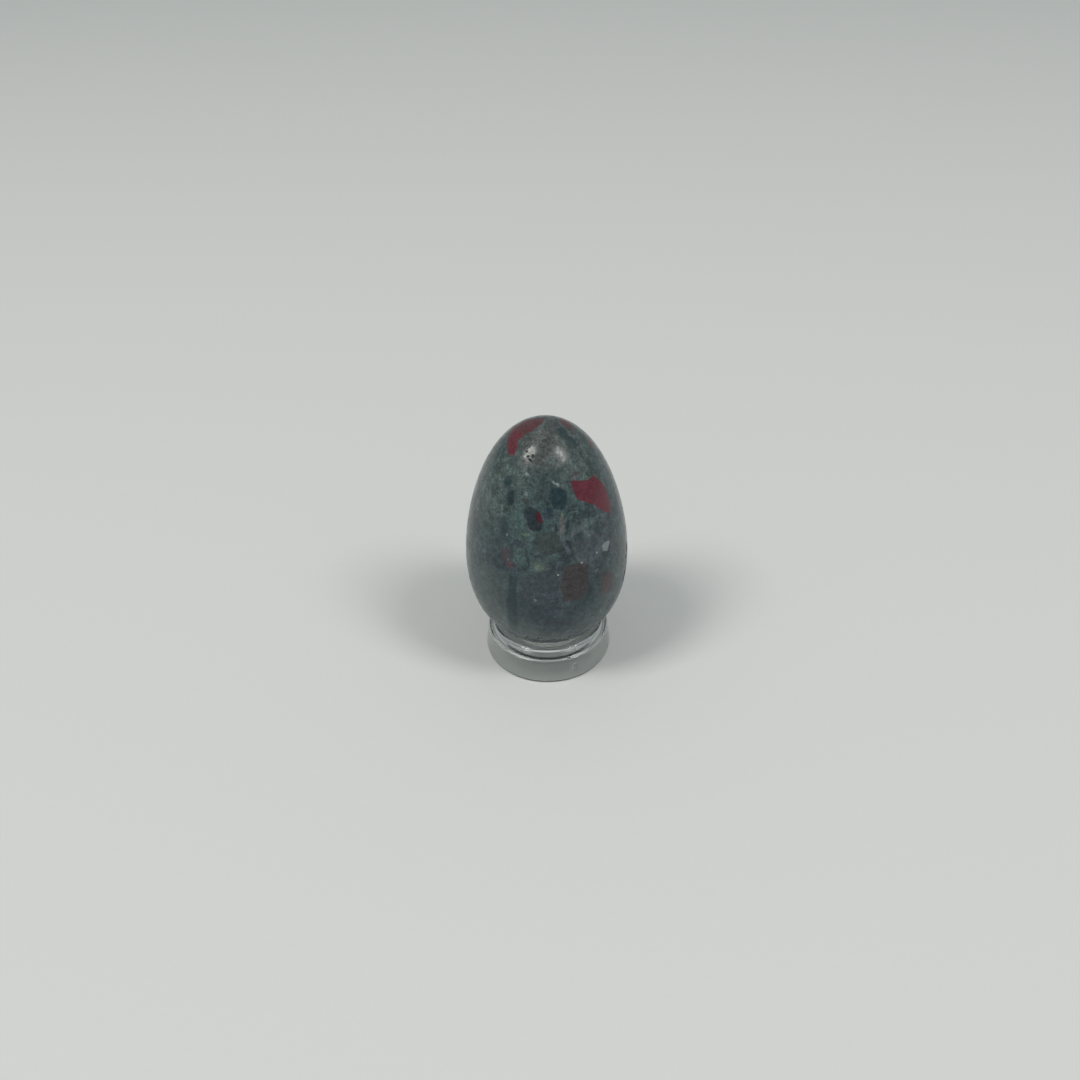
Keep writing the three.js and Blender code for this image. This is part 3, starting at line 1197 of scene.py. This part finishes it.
@dataclass(frozen=True)
class ClearPlastic:
    """Clear moulded plastic, a little hazy from handling, with a gate mark low on its front.

    Attributes:
        groups: The shared node groups.
        ior: Its refraction.
        haze: The least and the most roughness away from the flow lines.
        flow_haze: Roughness added in the flow lines.
        ripple: Height of its slow ripple, in millimetres.
        mark_depth: Depth of the handling marks, in millimetres.
        gate_azimuth: Degrees round the ring to the gate mark, from the front.
        gate_height: Its height above the table, in millimetres.
        gate_radius: Its distance from the middle, in millimetres.
        gate_reach: Half its width, height and depth, in millimetres.
        gate_relief: How far it stands out, in millimetres, and the roughness that it adds.
    """

    groups: GroupBook
    ior: float = 1.49
    haze: tuple[float, float] = (0.015, 0.05)
    flow_haze: float = 0.12
    ripple: float = 0.04
    mark_depth: float = 0.002
    gate_azimuth: float = 24.0
    gate_height: float = 3.2
    gate_radius: float = 13.5
    gate_reach: Reach = (0.6, 1.2, 1.0)
    gate_relief: float = 0.3

    def build(self) -> bpy.types.Material:
        """Makes the material.

        Returns:
            The material.
        """
        material, wires, shader = new_material("clear_moulded_plastic")
        shader.inputs["Base Color"].default_value = linear(249, 252, 251)
        shader.inputs["Transmission Weight"].default_value = 1.0
        shader.inputs["IOR"].default_value = self.ior
        place = wires.position()
        flow = wires.noise(wires.vectors("MULTIPLY", place, (1.0, 1.0, 0.15)), 0.35, 2.0).outputs["Fac"]
        rough = wires.spread(wires.noise(place, 0.6, 3.0).outputs["Fac"], *self.haze)
        rough = wires.maths("MULTIPLY_ADD", wires.rise(flow, 0.52, 0.68), self.flow_haze, rough)
        marks = self.groups.place_marks(wires, place, 3.0)
        facing = Matrix.Rotation(math.radians(self.gate_azimuth), 3, "Z")
        centre = facing @ Vector((0, -self.gate_radius, self.gate_height))
        gate = self.groups.place_lump(wires, place, centre, facing, self.gate_reach, Edge.SOFT)
        wires.put(shader.inputs["Roughness"], wires.maths("MULTIPLY_ADD", gate, self.gate_relief, rough))
        height = wires.maths("MULTIPLY", wires.noise(place, 0.25, 1.0).outputs["Fac"], self.ripple)
        height = wires.maths("SUBTRACT", height, wires.maths("MULTIPLY", marks, self.mark_depth))
        height = wires.maths("ADD", height, wires.maths("MULTIPLY", gate, self.gate_relief))
        wires.relief(shader, height)
        return material


@dataclass(frozen=True)
class SoftLamp:
    """A rectangular soft light.

    Attributes:
        name: The lamp's name.
        direction: Towards the lamp from the egg.
        size: Its width and height.
        radiance: Its brightness, where a white wall in full light is about 1.
        colour: Its colour.
        distance: How far it stands from the egg.
        aim: What it points at.
    """

    name: str
    direction: tuple[float, float, float]
    size: tuple[float, float]
    radiance: float
    colour: tuple[float, float, float]
    distance: float = 1.5
    aim: Vector = field(default_factory=lambda: Vector((0, 0, 0.04)))

    def build(self) -> None:
        """Adds the lamp."""
        light = bpy.data.lights.new(self.name, "AREA")
        light.shape = "RECTANGLE"
        light.size, light.size_y = self.size
        light.energy = self.radiance * math.pi * self.size[0] * self.size[1]
        light.color = self.colour
        lamp = bpy.data.objects.new(self.name, light)
        towards = Vector(self.direction).normalized()
        facing = (-towards).to_track_quat("-Z", "Y").to_matrix().to_4x4()
        lamp.visible_transmission = False
        lamp.matrix_world = Matrix.Translation(self.aim + towards * self.distance) @ facing
        bpy.context.collection.objects.link(lamp)


LAMPS = (
    SoftLamp("left_lamp", (-0.504, -0.251, 0.826), (0.38, 0.53), 13.5, (1.0, 0.975, 0.935)),
    SoftLamp("right_lamp", (0.512, -0.287, 0.809), (0.36, 0.53), 11.3, (1.0, 0.97, 0.945)),
)


@dataclass(frozen=True)
class Studio:
    """The table, the light and the camera."""

    camera_place: Vector = field(default_factory=lambda: Vector((-1.365, -177.32, 169.213)) * MM)
    pitch: float = math.radians(38.433)
    roll: float = math.radians(-1.276)
    lens: float = 36.033
    film: float = 36.0
    table_size: float = 3.0
    paper: tuple[tuple, tuple] = ((0.75, 0.764, 0.757, 1.0), (0.77, 0.782, 0.773, 1.0))
    paper_roughness: float = 0.7
    surroundings: tuple[float, float, float, float] = (0.92, 1.0, 1.0, 1.0)
    surroundings_strength: float = 0.3

    def table(self) -> None:
        """Lays the pale table."""
        mesh = bmesh.new()
        bmesh.ops.create_grid(mesh, x_segments=2, y_segments=2, size=self.table_size / 2)
        table = finished(mesh, "table_top")
        material, wires, shader = new_material("pale_paper")
        place = wires.position()
        fibres = wires.noise(place, 0.8, 3.0).outputs["Fac"]
        wires.put(shader.inputs["Base Color"], wires.blend(fibres, *self.paper))
        shader.inputs["Roughness"].default_value = self.paper_roughness
        table.data.materials.append(material)

    def light(self) -> None:
        """Adds the two lamps and the pale surroundings."""
        for lamp in LAMPS:
            lamp.build()
        world = bpy.data.worlds.new("pale_surroundings")
        world.use_nodes = True
        background = world.node_tree.nodes["Background"]
        background.inputs["Color"].default_value = self.surroundings
        background.inputs["Strength"].default_value = self.surroundings_strength
        bpy.context.scene.world = world
        bpy.context.scene.view_settings.view_transform = "Standard"

    def camera(self) -> None:
        """Places the camera at the photograph's viewing angle."""
        data = bpy.data.cameras.new("photograph_view")
        data.sensor_width = self.film
        data.lens = self.lens
        camera = bpy.data.objects.new("photograph_view", data)
        upright = Matrix.Rotation(math.pi / 2 - self.pitch, 4, "X")
        rolled = upright @ Matrix.Rotation(self.roll, 4, "Z")
        camera.matrix_world = Matrix.Translation(self.camera_place) @ rolled
        bpy.context.collection.objects.link(camera)
        bpy.context.scene.camera = camera

    def build(self) -> None:
        """Sets the whole studio."""
        self.table()
        self.light()
        self.camera()


def dress(piece: bpy.types.Object, material: bpy.types.Material) -> None:
    """Gives a piece its material and reports it.

    Args:
        piece: The piece.
        material: Its material.
    """
    piece.data.materials.clear()
    piece.data.materials.append(material)
    LOG.info("%s: %d faces, %s", piece.name, len(piece.data.polygons), material.name)


def main() -> None:
    """Builds the object and its studio."""
    logging.basicConfig(level=logging.INFO, format="%(name)s %(message)s")
    groups = GroupBook()
    egg = StoneEgg()
    dress(egg.build(), Bloodstone(egg, groups).build())
    dress(RingStand().build(), ClearPlastic(groups).build())
    Studio().build()


if __name__ == "__main__":
    main()
